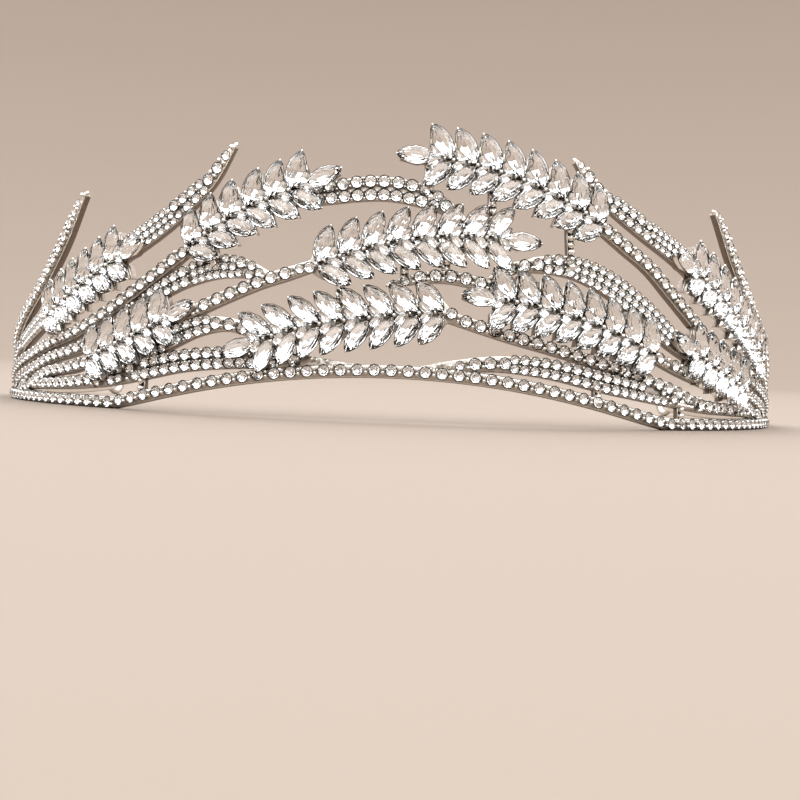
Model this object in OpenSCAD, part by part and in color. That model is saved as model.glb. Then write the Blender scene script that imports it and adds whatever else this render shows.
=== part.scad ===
// Leaf tiara: a pierced, cast metal band of vines bent round the head, set with round and navette stones.
// The tiara stands on its rim. The front looks along -Y, +Z is up and the open back is at +Y.
// Every place on the band is given by its angle from the front (degrees, + towards +X) and its height (mm).

/* [Band] */
// Width of the band over its metal, ear to ear
band_w = 155; // [140:1:170]
// Thickness of the cast metal
metal_t = 1.4; // [1.2:0.1:1.8]
// How far the band leans back for each millimetre of height
lean = 0.18; // [0:0.01:0.25]
// Distance of the band's centre behind the middle of the whole tiara
centre_y = 15.7; // [10:0.1:20]

/* [Rim] */
// Height of the rim bar
rim_h = 2.2; // [1.8:0.1:3]
// How high the rim arches over the forehead
arch_h = 7.8; // [0:0.1:10]
// Angle from the front at which the arch meets the floor
arch_angle = 41; // [35:1:45]
// Angle from the front at which the stone row ends
row_angle = 93; // [60:1:100]
// Angle from the front of each end eye
eye_angle = 124; // [115:1:130]
// Outer diameter of the end eyes
eye_d = 5.2; // [4:0.1:6]
// Hole through each end eye
eye_bore = 2.4; // [1.5:0.1:3]

/* [Round stones] */
// Width of a rim stone over its girdle
round_d = 2; // [1.6:0.1:2.2]
// Distance from one rim stone to the next
round_pitch = 2.9; // [2.6:0.1:3.5]

/* [Leaf stones] */
// Length of a navette stone
leaf_l = 7.1; // [6:0.1:7.5]
// Width of a navette stone
leaf_w = 3.4; // [2.6:0.1:3.4]
// Height of the crown over the girdle
leaf_crown = 1.1; // [0.8:0.1:1.4]
// Depth of the pavilion under the girdle
leaf_pavilion = 0.9; // [0.6:0.1:1]
// Distance along an ear from one pair of leaves to the next
leaf_pitch = 4.3; // [4.2:0.1:4.8]
// Angle between a leaf and its ear's stem
leaf_splay = 50; // [42:1:54]
// How far each leaf is rolled about its own length
leaf_roll = 12; // [0:1:15]
// How far each leaf's outer tip is lifted
leaf_lift = 7; // [0:1:10]

/* [Hidden] */
band_r = band_w / 2;
deg_per_mm = 180 / (PI * band_r);
// Shape of the arch, and the angles between the rim's corners and at its ends
arch_power = 1.25;
rim_step = 4;
rim_end = 104;
// Cut of the round stones, and their height over the metal
stone_gap = 0.12;
round_crown = 0.45;
round_pavilion = 0.55;
round_table = 0.55;
// Cut of the leaf stones: the table's size, and half the length of the keel, as shares of the stone's
leaf_table = 0.5;
leaf_keel = 0.2;
// Where the girdle's corners lie beside the middle, as shares of the length and width
leaf_corner = [0.29, 0.37];
// Height of a leaf's girdle over the face of the metal, and its root's distance from the stem's middle
leaf_seat = leaf_pavilion + 0.35;
leaf_root = 0.2;
// Length of a tooth of an ear's back, and of the notch between two
tooth_l = leaf_l - 0.6;
notch_l = 3.2;
// Distance from an ear's tip back to the middle of its first pair
first_pair = 7.7;
// Ribs of an ear's back under the tip leaf: [distance from the tip, half width]
tip_ribs = [[0.7, 0.4], [leaf_l / 2, 1.25], [leaf_l, 0.7]];
post_w = 1.5;
post_t = 1;
post_sink = 0.35;
// Steps between the rows of an ear's table
walk_steps = 8;

// Vines: rows of [angle, height, width], from the root at the side to the tip
crest_left = [[-102, 1.3, 1.6], [-95, 5, 2.2], [-88, 8.2, 2.3], [-80, 11.8, 2.4], [-71, 16.2, 2.4],
    [-62, 22.2, 2.4], [-55, 30.4, 2.1], [-50, 39.6, 0.8]];
crest_right = [[102, 1.3, 1.6], [95, 5, 2.2], [88, 8.2, 2.3], [80, 12.2, 2.4], [72, 17.4, 2.4],
    [64, 23.8, 2.4], [57, 32, 2.1], [51.5, 41, 0.8]];
plume_left = [[-95, 1.3, 1.6], [-88, 5, 2.3], [-80, 8, 2.5], [-72, 11, 2.8], [-64, 14.4, 3.2],
    [-54, 19.6, 3.8], [-45, 25.6, 4], [-35, 32.6, 4], [-28.8, 38.4, 3.4], [-25.5, 42.6, 2.4],
    [-22.7, 48, 0.8]];
plume_right = [[95, 1.3, 1.6], [88, 5, 2.3], [80, 8.2, 2.5], [72, 11.8, 2.8], [64, 16.4, 3.2],
    [57, 21.6, 3.8], [50, 27, 4], [42.9, 32, 4], [35, 37, 3.6], [28.1, 42.4, 2.6], [24.4, 47.8, 0.8]];
stem_a = [[-88, 1.2, 1.6], [-80, 4.8, 2.2], [-72, 7, 2.3], [-64, 9.2, 2.3], [-57, 11.4, 2.3],
    [-50, 13.6, 2.3], [-43, 17.4, 2.3], [-35, 23.6, 2.3], [-30.6, 27.6, 2.3], [-27, 31, 2]];
stem_b = [[88, 1.2, 1.6], [80, 4.8, 2.2], [72, 7, 2.3], [64, 9.4, 2.3], [57, 12.2, 2.3],
    [50, 16.6, 2.3], [42, 24, 2.3], [37, 29.2, 2.3], [32.5, 32.8, 2.3], [28.5, 36, 2]];
stem_c = [[-65, 3, 1.4], [-57, 6, 2.1], [-50, 7.2, 2.2], [-43.5, 9.6, 2.2], [-35, 14.2, 2.3],
    [-28.4, 17.6, 2.3], [-24, 20.2, 2.3], [-18.3, 23.4, 2.3], [-14.3, 25.2, 2.3], [-10.5, 27, 2]];
stem_d = [[47, 5, 1.4], [40, 7.9, 2.1], [31.2, 10.8, 2.2], [22.6, 13.6, 2.2], [14.8, 16, 2.2],
    [5.5, 19.4, 2]];
stem_e = [[66, 3, 1.4], [58, 6.2, 2.1], [50, 8.8, 2.2], [43, 11.2, 2.2], [36.5, 14.2, 2]];
loop_ab = [[-14, 38.6, 3], [-9, 39.7, 3.8], [-5, 40.6, 4.2], [-1, 40.8, 4.2], [3, 39.9, 4],
    [6.5, 37.9, 2.6], [9.5, 34.4, 1.4]];
spray_left = [[-80, 1.2, 1.6], [-72, 4.3, 2.2], [-64, 6.4, 2.2], [-57, 8.7, 2.2], [-50, 10.5, 2.3],
    [-44, 13.2, 2.4], [-38, 18, 2.6], [-31.7, 22.6, 3.2], [-27.5, 25, 3.9], [-23.8, 26.2, 4.1],
    [-20, 25.9, 3.2], [-16, 24.4, 1.2]];
spray_right = [[80, 1.2, 1.6], [72, 4.3, 2.2], [64, 6.6, 2.2], [57, 9, 2.4], [49, 12.4, 3],
    [41.7, 16.6, 3.8], [36.7, 20.8, 4.4], [30, 25.9, 4.4], [25.3, 28.2, 4], [20.8, 28.8, 3.2],
    [16.3, 28.1, 2.2], [13, 26.2, 0.9]];
twig_left = [[-38, 6.6, 1.6], [-34.5, 10, 2.6], [-30.6, 13.2, 3.4], [-26.5, 15.4, 3.2],
    [-22.3, 16, 2.5], [-17.6, 14.4, 2]];
twig_right = [[17.5, 21.8, 2], [12.6, 24.2, 2.3], [8.1, 25.6, 2.3], [4.2, 25.5, 2], [-0.6, 23.9, 0.8]];
sweep_left = [[-74, 1.1, 1.4], [-66, 3.2, 2.1], [-57, 3.8, 2.2], [-50, 4.3, 2.4], [-42, 5.6, 3.2],
    [-35, 7.4, 3.6], [-28.8, 9.1, 3.7], [-22, 10, 3.6], [-16, 10.1, 3.2], [-11, 9.8, 2.4],
    [-5, 9.4, 1.2]];
sweep_right = [[74, 1.1, 1.4], [66, 3.2, 2.1], [57, 3.8, 2.2], [50, 4.3, 2.4], [42, 5.6, 2.8],
    [35, 7, 3.2], [28.8, 8.4, 3.5], [21.5, 10.2, 3.3], [14.3, 10.9, 2.8], [8.4, 10.2, 2.2],
    [4, 9.5, 1.1]];
// The vines, each with how deep it is sunk under the band's face so that none lies level with its neighbours
vines = [[crest_left, 0.1], [crest_right, 0.1], [plume_left, 0.4], [plume_right, 0.4], [stem_a, 0.2],
    [stem_b, 0.2], [spray_left, 0.5], [spray_right, 0.5], [stem_c, 0.3], [stem_e, 0.3], [stem_d, 0.45],
    [sweep_left, 0.15], [sweep_right, 0.15], [twig_left, 0.35], [twig_right, 0.1], [loop_ab, 0.35]];

// Tails, mirrored on the other side: a plain strip from the last stones to the side of the eye.
tail = [[101, 1.15, 1.9], [108, 1.15, 2], [116, 1.5, 2.4], [eye_angle - 1.3, 2.5, 3.2]];

// Ears of leaves: rows of [angle, height] along each stem, from its root to its tip.
axis_a = [[-29.6, 28.2], [-21, 35.8], [-15.2, 39.2], [-7.3, 43.8]];
axis_b = [[28.6, 36], [20, 41.5], [12, 44.9], [4, 46.6], [-0.5, 46.6]];
axis_c = [[-10.5, 26.6], [-4, 29.8], [4, 32.2], [12, 32.7], [19, 32]];
axis_d = [[7, 19.2], [3, 18.9], [-6, 17.2], [-13, 15.2], [-22.6, 10.4]];
axis_e = [[37, 13.8], [30, 17.3], [22.5, 20.1], [16, 21.6], [8.4, 22.5]];
axis_f = [[-60, 14.6], [-46, 23.6], [-35.6, 30.8]];
axis_g = [[-46, 8.4], [-35, 14.2], [-26.6, 19.4]];
axis_h = [[66, 14.2], [58, 20.4], [50, 26.2], [40.4, 32.4]];
axis_i = [[58, 8.4], [49, 12.4], [40.6, 17]];

// The ears, in the order of the alphabet: [axis, pairs of leaves, how deep the back is sunk].
ears = [[axis_a, 6, 0], [axis_b, 8, 0.06], [axis_c, 8, 0], [axis_d, 8, 0.06], [axis_e, 8, 0],
    [axis_f, 6, 0], [axis_g, 5, 0.06], [axis_h, 8, 0], [axis_i, 5, 0.06]];

// Posts between the vines: [angle, height] at both ends.
posts = [
    [[-24.6, 26.6], [-25.2, 32.6]],
    [[-7.4, 17.6], [-6.8, 28.8]],
    [[1.2, 25], [1.2, 32]],
    [[6.6, 25.8], [6.6, 33.2]],
    [[12.6, 33.6], [12.4, 44.4]],
    [[23.9, 28.6], [23.4, 39]],
    [[4.2, 39.6], [3.8, 46.6]],
    [[28.4, 8], [28.4, 4.6]],
    [[43.5, 5], [43.5, 1.4]],
    [[32.4, 10.6], [31.6, 16.6]],
    [[-35.4, 6.6], [-35.4, 2.6]]
];

// Height of the rim's foot at an angle: an arch over the forehead, flat beyond it.
function foot(a) = abs(a) < arch_angle ? arch_h * pow(1 - pow(a / arch_angle, 2), arch_power) : 0;

// A point of the band: angle, height, and distance outwards from the face of the metal.
function skin(a, z, out = 0) = [(band_r + out) * sin(a), -(band_r + out) * cos(a) + lean * z, z];

// Unit directions on the band's face at an angle: along it, up it, and out of it.
function slant(a) = sqrt(1 + pow(lean * cos(a), 2));
function face_along(a) = [cos(a), sin(a), 0];
function face_out(a) = [sin(a), -cos(a), lean * cos(a)] / slant(a);
function face_up(a) = cross(face_out(a), face_along(a));

// A move of u along the face and w up it, as a change of [angle, height], and the other way round.
function moved(p, u, w) =
    [p[0] + (u - w * lean * sin(p[0]) / slant(p[0])) * deg_per_mm, p[1] + w / slant(p[0])];
function move_to(p, q) =
    let (da = (q[0] - p[0]) / deg_per_mm, dz = q[1] - p[1], m = (p[0] + q[0]) / 2)
    [da + dz * lean * sin(m), dz * slant(m)];

// Catmull-Rom curve through the rows of a table, n steps for each row.
function bend(p, q, r, s, t) = 0.5 * (2 * q + (r - p) * t + (2 * p - 5 * q + 4 * r - s) * t * t
    + (3 * q - p - 3 * r + s) * t * t * t);
function row(rows, i) = i < 0 ? 2 * rows[0] - rows[1]
    : i >= len(rows) ? 2 * rows[len(rows) - 1] - rows[len(rows) - 2] : rows[i];
function curve(rows, n) = [
    for (i = [0 : len(rows) - 2], k = [0 : n - 1])
        bend(row(rows, i - 1), rows[i], rows[i + 1], row(rows, i + 2), k / n),
    rows[len(rows) - 1]
];

// Places at given distances along a curve: [angle, height, direction on the face].
function reach(line) = [for (i = 0, d = 0; i < len(line); d = i < len(line) - 1
    ? d + norm(move_to(line[i], line[i + 1])) : d, i = i + 1) d];
function place(line, far, d, i = 0) =
    i >= len(line) - 2 || d < far[i + 1]
        ? let (t = (d - far[i]) / (far[i + 1] - far[i]), p = line[i] * (1 - t) + line[i + 1] * t,
            s = move_to(line[i], line[i + 1]))
            [p[0], p[1], atan2(s[1], s[0])]
        : place(line, far, d, i + 1);

// Side faces and ends of a bar of n rings with c corners each.
function bar_faces(n, c) = concat(
    [for (i = [0 : n - 2], k = [0 : c - 1]) each [
        [c * i + k, c * i + c + k, c * i + (k + 1) % c],
        [c * i + (k + 1) % c, c * i + c + k, c * i + c + (k + 1) % c]
    ]],
    [[for (k = [0 : c - 1]) k], [for (k = [c - 1 : -1 : 0]) c * n - c + k]]
);

// A bar from a list of rings, each a list of [angle, height] from the right of the way to the left.
module bar(rings, sink, t) {
    across = len(rings[0]) - 1;
    polyhedron(
        points = [for (r = rings) each concat(
            [for (i = [0 : across]) skin(r[i][0], r[i][1], -sink - t)],
            [for (i = [across : -1 : 0]) skin(r[i][0], r[i][1], -sink)]
        )],
        faces = bar_faces(len(rings), 2 * across + 2)
    );
}

// A vine: a bar along a table's curve, as wide across it as the table says.
module vine(rows, sink = 0, n = 2, t = metal_t) {
    line = curve(rows, n);
    last = len(line) - 1;
    bar([for (i = [0 : last])
        let (s = move_to(line[max(i - 1, 0)], line[min(i + 1, last)]),
            side = [-s[1], s[0]] / norm(s) * line[i][2] / 2)
        [moved(line[i], -side[0], -side[1]), moved(line[i], side[0], side[1])]], sink, t);
}

module rim() {
    bar([for (a = [-rim_end : rim_step : rim_end]) [[a, foot(a)], [a, foot(a) + rim_h]]], 0, metal_t);
}

// Puts its children at an end eye, with the Z axis straight out of the ring.
module place_eye(side) {
    translate(skin(side * eye_angle, eye_d / 2, -metal_t / 2))
        rotate([90, 0, side * eye_angle])
            children();
}

module end_eye(side) {
    place_eye(side) cylinder(h = metal_t, d = eye_d, center = true, $fn = 24);
}

// Outline of a navette: two points and three corners on each side.
function navette(l, w) = let (x = leaf_corner[0] * l, y = leaf_corner[1] * w) [
    [l / 2, 0], [x, y], [0, w / 2], [-x, y], [-l / 2, 0], [-x, -y], [0, -w / 2], [x, -y]
];

// Faces of a cut stone: corners 0 to 7 are the table, 8 to 15 the girdle, then the keel.
crown_faces = concat([[7, 6, 5, 4, 3, 2, 1, 0]], [for (i = [0 : 7]) each [
    [8 + i, i, (i + 1) % 8], [8 + i, (i + 1) % 8, 8 + (i + 1) % 8]
]]);

module navette_stone() {
    girdle = navette(leaf_l, leaf_w);
    keel = leaf_keel * leaf_l;
    polyhedron(
        points = concat(
            [for (p = girdle) [p[0] * leaf_table, p[1] * leaf_table, leaf_crown]],
            [for (p = girdle) [p[0], p[1], 0]],
            [[keel, 0, -leaf_pavilion], [-keel, 0, -leaf_pavilion]]
        ),
        faces = concat(crown_faces,
            [for (i = [0 : 7]) [8 + i, 8 + (i + 1) % 8, i > 1 && i < 6 ? 17 : 16]],
            [[10, 17, 16], [14, 16, 17]])
    );
}

module round_stone() {
    girdle = [for (i = [0 : 7]) [cos(45 * i), sin(45 * i)] * round_d / 2];
    polyhedron(
        points = concat(
            [for (p = girdle) [p[0] * round_table, p[1] * round_table, round_crown]],
            [for (p = girdle) [p[0], p[1], 0]],
            [[0, 0, -round_pavilion]]
        ),
        faces = concat(crown_faces, [for (i = [0 : 7]) [8 + i, 8 + (i + 1) % 8, 16]])
    );
}

// Puts its children on the band's face: along is turned from the face's own direction by an angle.
module on_face(a, z, out, turn) {
    along = face_along(a) * cos(turn) + face_up(a) * sin(turn);
    up = cross(face_out(a), along);
    n = face_out(a);
    o = skin(a, z) + n * out;
    multmatrix([
        [along[0], up[0], n[0], o[0]],
        [along[1], up[1], n[1], o[1]],
        [along[2], up[2], n[2], o[2]],
        [0, 0, 0, 1]
    ])
        children();
}

// Sets its children at every leaf of an ear: one at the tip, then pairs down the stem.
module leaves(axis, pairs) {
    line = curve(axis, walk_steps);
    far = reach(line);
    full = far[len(far) - 1];
    tip = place(line, far, full - leaf_l / 2);
    on_face(tip[0], tip[1], leaf_seat, tip[2])
        rotate([0, -leaf_lift, 0])
            children();
    across = leaf_root + leaf_l / 2 * sin(leaf_splay);
    for (i = [0 : pairs - 1], side = [-1, 1]) {
        p = place(line, far, full - first_pair - i * leaf_pitch);
        q = moved(p, -sin(p[2]) * side * across, cos(p[2]) * side * across);
        on_face(q[0], q[1], leaf_seat, p[2] + side * leaf_splay)
            rotate([side * leaf_roll, -leaf_lift, 0])
                children();
    }
}

// The cast back of an ear: a plate round its stem with a tooth under each leaf. Its ribs run from the
// tip to the root: [distance of the stem's point, distance of the edge's point, reach from the stem].
module ear_back(axis, pairs, sink) {
    line = curve(axis, walk_steps);
    far = reach(line);
    full = far[len(far) - 1];
    lean_in = cos(leaf_splay);
    root = first_pair + leaf_l / 2 * lean_in;
    ribs = concat(
        [for (r = tip_ribs) [r[0], r[0], r[1]]],
        [for (i = [0 : 2 * pairs]) let (d = root + (i - 1) * leaf_pitch / 2, tooth = i % 2 == 1)
            [d, d - (tooth ? tooth_l : notch_l) * lean_in, (tooth ? tooth_l : notch_l) * sin(leaf_splay)]]
    );
    bar([for (r = ribs)
        let (p = place(line, far, full - r[0]), q = place(line, far, full - r[1]),
            out = [-sin(q[2]), cos(q[2])] * r[2])
        [moved(q, out[0], out[1]), [p[0], p[1]], moved(q, -out[0], -out[1])]], sink, metal_t);
}

module frame() {
    color("silver")
        translate([0, centre_y, 0])
            difference() {
                resize([0, 0, 0]) {
                    rim();
                    for (v = vines) vine(v[0], v[1]);
                    for (side = [-1, 1]) {
                        vine([for (r = tail) [side * r[0], r[1], r[2]]], 0.05);
                        end_eye(side);
                    }
                    for (p = posts) vine([for (q = p) [q[0], q[1], post_w]], post_sink, 1, post_t);
                    for (e = ears) ear_back(e[0], e[1], e[2]);
                }
                for (side = [-1, 1])
                    place_eye(side) cylinder(h = 3 * metal_t, d = eye_bore, center = true, $fn = 32);
            }
}

module rim_stones() {
    line = [for (a = [-row_angle : 1 : row_angle]) [a, foot(a) + rim_h / 2]];
    far = reach(line);
    full = far[len(far) - 1];
    count = floor(full / round_pitch);
    color("whitesmoke")
        translate([0, centre_y, 0])
            for (i = [0 : count]) {
                p = place(line, far, full * i / count);
                on_face(p[0], p[1], round_pavilion + stone_gap, p[2]) round_stone();
            }
}

module ear(e) {
    color("white")
        translate([0, centre_y, 0])
            leaves(e[0], e[1]) navette_stone();
}

frame();
rim_stones();
ear(ears[0]);  // ear_a
ear(ears[1]);  // ear_b
ear(ears[2]);  // ear_c
ear(ears[3]);  // ear_d
ear(ears[4]);  // ear_e
ear(ears[5]);  // ear_f
ear(ears[6]);  // ear_g
ear(ears[7]);  // ear_h
ear(ears[8]);  // ear_i
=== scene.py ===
# Leaf tiara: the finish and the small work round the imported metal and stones.
# Places on the band are [angle from the front in degrees, height in mm], as in the part's own source.
import math

import bmesh
import bpy
import numpy as np
from mathutils import Matrix, Vector


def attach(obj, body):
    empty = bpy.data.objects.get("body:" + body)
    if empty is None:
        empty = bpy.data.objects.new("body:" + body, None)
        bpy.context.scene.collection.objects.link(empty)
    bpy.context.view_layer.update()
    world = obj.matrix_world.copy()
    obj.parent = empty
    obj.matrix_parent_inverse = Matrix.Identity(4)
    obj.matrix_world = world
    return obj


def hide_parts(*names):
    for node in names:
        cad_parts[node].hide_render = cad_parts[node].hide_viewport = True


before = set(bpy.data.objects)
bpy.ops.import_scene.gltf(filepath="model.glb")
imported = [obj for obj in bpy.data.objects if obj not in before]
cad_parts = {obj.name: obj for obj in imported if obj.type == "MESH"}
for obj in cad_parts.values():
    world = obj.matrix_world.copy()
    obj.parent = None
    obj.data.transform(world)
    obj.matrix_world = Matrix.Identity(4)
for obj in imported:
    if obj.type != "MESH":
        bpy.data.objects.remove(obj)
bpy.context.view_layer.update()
print("loaded", len(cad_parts), "nodes")

mm = 0.001

# The band, and lines drawn on it

band = {
    "radius": 77.5,  # to the face of the metal
    "lean": 0.18,  # how far it leans back for each mm of height
    "centreY": 15.7,  # the ring's middle, behind the middle of the whole
    "metal": 1.4,  # thickness
}
degPerMm = 180 / (math.pi * band["radius"])


def skin(angle, height, out=0.0):
    # a point of the band, in metres
    a = math.radians(angle)
    r = band["radius"] + out
    y = band["centreY"] + band["lean"] * height - r * math.cos(a)
    return Vector((r * math.sin(a), y, height)) * mm


def slant(angle):
    return math.hypot(1, band["lean"] * math.cos(math.radians(angle)))


def onFace(angle, height, out=0.0, turn=0.0):
    # the matrix that lays a piece on the band's face, turned from the way round the head
    a, t = math.radians(angle), math.radians(turn)
    level = Vector((math.cos(a), math.sin(a), 0))
    outward = Vector((math.sin(a), -math.cos(a), band["lean"] * math.cos(a))).normalized()
    along = level * math.cos(t) + outward.cross(level) * math.sin(t)
    place = Matrix((along, outward.cross(along), outward)).transposed().to_4x4()
    place.translation = skin(angle, height) + outward * out * mm
    return place


def moved(p, u, w):
    # u mm along the face and w mm up it from [angle, height]
    fall = w * band["lean"] * math.sin(math.radians(p[0])) / slant(p[0])
    return [p[0] + (u - fall) * degPerMm, p[1] + w / slant(p[0])]


def moveTo(p, q):
    rise, middle = q[1] - p[1], (p[0] + q[0]) / 2
    side = (q[0] - p[0]) / degPerMm + rise * band["lean"] * math.sin(math.radians(middle))
    return side, rise * slant(middle)


def bend(p, q, r, s, t):
    # a point of a smooth curve from q to r, with p before them and s after
    square, cube = 2 * p - 5 * q + 4 * r - s, 3 * q - p - 3 * r + s
    return 0.5 * (2 * q + (r - p) * t + square * t**2 + cube * t**3)


def curve(rows, steps):
    # a smooth line through a table's rows
    rows = [np.array(r, float) for r in rows]
    rows = [2 * rows[0] - rows[1], *rows, 2 * rows[-1] - rows[-2]]
    line = [bend(*rows[i:i + 4], k / steps) for i in range(len(rows) - 3) for k in range(steps)]
    return line + [rows[-2]]


def measured(line):
    # how far each point lies along the line, in mm
    steps = [math.hypot(*moveTo(p, q)) for p, q in zip(line, line[1:])]
    return np.concatenate([[0], np.cumsum(steps)])


def drawn(rows, steps):
    # the smooth line of a table, and how far each of its points lies along it
    line = curve(rows, steps)
    return line, measured(line)


def walk(line, far, d):
    # the row at a distance along the line, and the way it runs there, in degrees
    i = int(np.clip(np.searchsorted(far, d) - 1, 0, len(line) - 2))
    t = (d - far[i]) / (far[i + 1] - far[i])
    u, w = moveTo(line[i], line[i + 1])
    return line[i] * (1 - t) + line[i + 1] * t, math.degrees(math.atan2(w, u))


def aside(p, way, off):
    # off mm to the left of a line that passes p
    a = math.radians(way)
    return moved(p, -math.sin(a) * off, math.cos(a) * off)


# Making pieces


def finishPiece(bm, name, materials, nodes=()):
    for v in bm.verts:
        v.co.z = max(v.co.z, 0)  # it stands on the floor
    mesh = bpy.data.meshes.new(name)
    bm.to_mesh(mesh)
    bm.free()
    for m in materials:
        mesh.materials.append(m)
    piece = bpy.data.objects.new(name, mesh)
    bpy.context.scene.collection.objects.link(piece)
    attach(piece, "root")
    if nodes:
        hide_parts(*nodes)


def shapeOf(bm):
    # keeps a bmesh as a shape to stamp many times
    mesh = bpy.data.meshes.new("shape")
    bm.to_mesh(mesh)
    bm.free()
    return mesh


def stamp(bm, shape, place):
    copy = shape.copy()
    copy.transform(place)
    bm.from_mesh(copy)
    bpy.data.meshes.remove(copy)


def strip(bm, ribs, sink, thick):
    # a bar of metal over ribs of [angle, height] points, bent to the band
    last, across = len(ribs) - 1, len(ribs[0]) - 1
    made = bmesh.ops.create_grid(bm, x_segments=last, y_segments=across, size=0.5)["verts"]
    for v in made:
        rib, point = round((v.co.x + 0.5) * last), round((v.co.y + 0.5) * across)
        v.co = skin(*ribs[rib][point], -sink)
    faces = list({f for v in made for f in v.link_faces})
    bmesh.ops.recalc_face_normals(bm, faces=faces)
    middle = Vector((0, band["centreY"] * mm, 0))
    if sum(f.normal.dot(f.calc_center_median() - middle) for f in faces) < 0:
        bmesh.ops.reverse_faces(bm, faces=faces)
    bmesh.ops.solidify(bm, geom=faces, thickness=thick * mm)


def crossRibs(line):
    # ribs square across a line of [angle, height, width]
    ribs = []
    for i, p in enumerate(line):
        u, w = moveTo(line[max(i - 1, 0)], line[min(i + 1, len(line) - 1)])
        half = p[2] / 2 / math.hypot(u, w)
        ribs.append([moved(p, w * half, -u * half), moved(p, -w * half, u * half)])
    return ribs


def leafOutline(v, wider=0.0):
    # moves a corner of a unit circle to the outline of a leaf stone
    swell = math.copysign(abs(v.co.y) ** leaf["blunt"], v.co.y)
    v.co.x *= (leaf["length"] / 2 + wider) * mm
    v.co.y = swell * (leaf["width"] / 2 + wider) * mm


castEdge = {
    "sharp": 40,  # degrees between two faces from which their edge is rounded
    "rim": 0.25,  # how wide the rounding is, in mm
    "vines": 0.13,
    "posts": 0.16,
    "ears": 0.45,
    "tails": 0.3,
    "back": -0.4,  # a face that looks outwards by less than this is a bar's back, 1 being straight out
    "side": 0.4,  # by less than this it is a side
    "seat": 0.95,  # and by more than this it lies between the stones
    "lip": 0.4,  # on a cup, by more than this it is the lip
}


def softenEdges(bm, width, seats=True):
    # rounds the edges of cast metal; the second material is the face between the stones, left as cast and
    #  darkened with painted shade, and the third the sides of the bars, with darker painted shade
    bmesh.ops.recalc_face_normals(bm, faces=bm.faces)
    edges = [e for e in bm.edges if len(e.link_faces) == 2]
    edges = [e for e in edges if math.degrees(e.calc_face_angle()) > castEdge["sharp"]]
    bmesh.ops.bevel(bm, geom=edges, offset=width * mm, offset_type="OFFSET", segments=2, profile=0.5,
                    affect="EDGES", material=-1, clamp_overlap=True)
    for f in bm.faces:
        f.smooth = True
        x, y, z = f.calc_center_median() / mm
        outward = Vector((x, y - band["centreY"] - band["lean"] * z, 0)).normalized()
        facing = f.normal.dot(outward)
        if seats and facing > castEdge["seat"]:
            f.material_index = 1
        elif seats and castEdge["back"] < facing < castEdge["side"]:
            f.material_index = 2


# Materials


def linear(code):
    # an sRGB hex colour as linear RGBA
    parts = [int(code[i:i + 2], 16) / 255 for i in (1, 3, 5)]
    return (*[c / 12.92 if c <= 0.04045 else ((c + 0.055) / 1.055) ** 2.4 for c in parts], 1)


def addNode(tree, kind, settings=None, links=None, values=None):
    node = tree.nodes.new(kind)
    for key, value in (settings or {}).items():
        setattr(node, key, value)
    for key, value in (values or {}).items():
        node.inputs[key].default_value = value
    for key, socket in (links or {}).items():
        tree.links.new(socket, node.inputs[key])
    return node


def newMaterial(name):
    material = bpy.data.materials.new(name)
    material.use_nodes = True
    material.node_tree.nodes.clear()
    return material, material.node_tree


def close(tree, shader):
    addNode(tree, "ShaderNodeOutputMaterial", links={"Surface": shader.outputs[0]})


def rhodiumPlate():
    # Rhodium-plated zinc alloy: a bright, faintly warm white metal. It was polished by tumbling, so it
    # mirrors softly, and its cast skin still waves a little.
    material, tree = newMaterial("rhodiumPlatedAlloy")
    finish = {
        "light": "#F5F3EF",
        "dark": "#DEDAD3",
        "rough": (0.10, 0.26),  # in the darker places, and in the lighter ones
        "cloud": 2.2,  # size of these places, in mm
        "wave": 0.9,  # size of the skin's waves
        "depth": 0.05,  # and their depth
    }
    where = addNode(tree, "ShaderNodeTexCoord")
    cloud = addNode(tree, "ShaderNodeTexNoise", values={"Scale": 1 / (finish["cloud"] * mm), "Detail": 3.0},
                    links={"Vector": where.outputs["Object"]})
    wave = addNode(tree, "ShaderNodeTexNoise", values={"Scale": 1 / (finish["wave"] * mm), "Detail": 2.0},
                   links={"Vector": where.outputs["Object"]})
    colour = addNode(tree, "ShaderNodeMix", {"data_type": "RGBA"}, values={6: linear(finish["dark"]),
                     7: linear(finish["light"])}, links={0: cloud.outputs["Fac"]})
    rough = addNode(tree, "ShaderNodeMapRange", values={"To Min": finish["rough"][0],
                    "To Max": finish["rough"][1]}, links={"Value": cloud.outputs["Fac"]})
    bump = addNode(tree, "ShaderNodeBump", values={"Strength": 0.25, "Distance": finish["depth"] * mm},
                   links={"Height": wave.outputs["Fac"]})
    metal = addNode(tree, "ShaderNodeBsdfPrincipled", values={"Metallic": 1.0},
                    links={"Base Color": colour.outputs[2], "Roughness": rough.outputs[0],
                           "Normal": bump.outputs[0]})
    close(tree, metal)
    return material


def crystalGlass():
    # Machine-cut crystal: clear with a faintly cool cast, and fire-polished, so its facets mirror and bend
    # light sharply.
    material, tree = newMaterial("cutCrystalGlass")
    finish = {"colour": "#F6F9FD", "bends": 1.56}
    glass = addNode(tree, "ShaderNodeBsdfPrincipled", values={"Base Color": linear(finish["colour"]),
                    "Roughness": 0.0, "IOR": finish["bends"], "Transmission Weight": 1.0})
    close(tree, glass)
    return material


def silverFoil():
    # Silvered back of the glass: a mirror behind each stone, which sends the light out again through its
    # crown.
    material, tree = newMaterial("silveredFoil")
    foil = addNode(tree, "ShaderNodeBsdfPrincipled", values={"Base Color": linear("#FCFBF9"),
                   "Metallic": 1.0, "Roughness": 0.0})
    close(tree, foil)
    return material


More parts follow.
